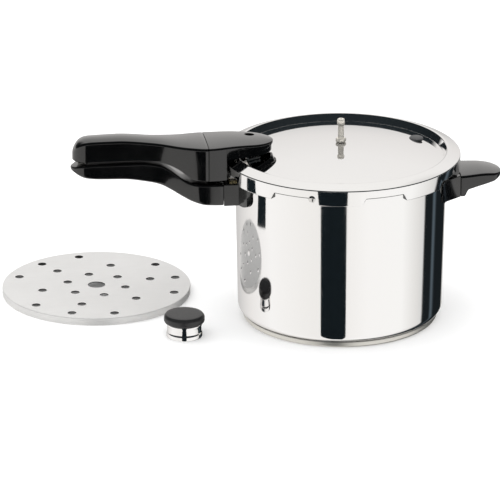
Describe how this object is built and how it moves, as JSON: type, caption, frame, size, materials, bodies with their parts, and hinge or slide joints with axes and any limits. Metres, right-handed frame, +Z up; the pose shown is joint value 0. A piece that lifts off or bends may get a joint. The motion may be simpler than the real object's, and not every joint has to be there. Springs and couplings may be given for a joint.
{
  "type": "pressure canner",
  "caption": "Stove-top pressure canner in polished steel with twin black long handles, helper handle, locking domed cover, loose steamer rack and weight regulator.",
  "frame": {"origin": "centre of the pot's base on the surface it stands on", "axes": "+Z up along the pot's axis; the two long handles point along -X, the helper handle along +X"},
  "size_m": [0.4881, 0.3017, 0.2033],
  "materials": {
    "mirror_steel": "mirror polished stainless steel",
    "satin_steel": "satin steel",
    "core_aluminium": "satin",
    "rack_aluminium": "matt, lightly grained",
    "black_phenolic": "gloss moulded black",
    "seal_rubber": "matt",
    "plug_rubber": "satin dark grey",
    "spring_brass": "bright"
  },
  "bodies": {
    "pot": {"body_pot": "mirror_steel", "base_core_disc": "core_aluminium", "base_cap": "mirror_steel", "body_handle_bracket": "satin_steel", "body_handle_collar": "black_phenolic", "body_handle_grip": "black_phenolic", "body_handle_screw": "satin_steel", "hanging_eyelet": "mirror_steel", "collar_spring": "spring_brass", "helper_bracket": "satin_steel", "helper_collar": "black_phenolic", "helper_handle": "black_phenolic", "helper_screw": "satin_steel"},
    "cover": {"cover_lid": "mirror_steel", "cover_stop_rivet": "mirror_steel", "sealing_ring": "seal_rubber", "overpressure_plug": "plug_rubber", "vent_pipe": "satin_steel", "vent_pipe_nut": "satin_steel", "cover_handle_nose": "black_phenolic", "cover_handle_grip": "black_phenolic", "cover_handle_bracket": "satin_steel", "cover_handle_nut": "satin_steel", "cover_handle_screw_front": "satin_steel", "cover_handle_screw_rear": "satin_steel", "lever_pivot_pin": "satin_steel", "air_vent_gasket": "seal_rubber"},
    "air_vent": {"air_vent_plunger": "satin_steel"},
    "interlock": {"interlock_lever": "satin_steel"},
    "lock": {"lock_pin": "satin_steel"},
    "rack": {"cooking_rack": "rack_aluminium"},
    "regulator": {"regulator_weight": "mirror_steel", "regulator_cap": "black_phenolic"}
  },
  "joints": [
    {"name": "cover_turn", "type": "hinge", "parent": "pot", "child": "cover", "pos_m": [0, 0, 0.169], "axis": [0, 0, 1], "range_deg": [-22.5, 0]},
    {"name": "air_vent_lift", "type": "slide", "parent": "cover", "child": "air_vent", "axis": [0, 0, 1], "range_m": [0, 0.003]},
    {"name": "interlock_lever_swing", "type": "hinge", "parent": "cover", "child": "interlock", "pos_m": [-0.10825, 0.0095, 0.1775], "axis": [0, -1, 0], "range_deg": [0, 9.3]},
    {"name": "lock_pin_drop", "type": "slide", "parent": "cover", "child": "lock", "axis": [0, 0, -1], "range_m": [0, 0.003]},
    {"name": "rack_lift", "type": "slide", "parent": "pot", "child": "rack", "axis": [0, 0, 1], "range_m": [0, 0.1]},
    {"name": "regulator_lift", "type": "slide", "parent": "pot", "child": "regulator", "axis": [0, 0, 1], "range_m": [0, 0.09]}
  ],
  "couplings": [
    {"joint": "interlock_lever_swing", "follows": "air_vent_lift", "rad_per_m": 53.5},
    {"joint": "lock_pin_drop", "follows": "air_vent_lift", "ratio": 1}
  ]
}
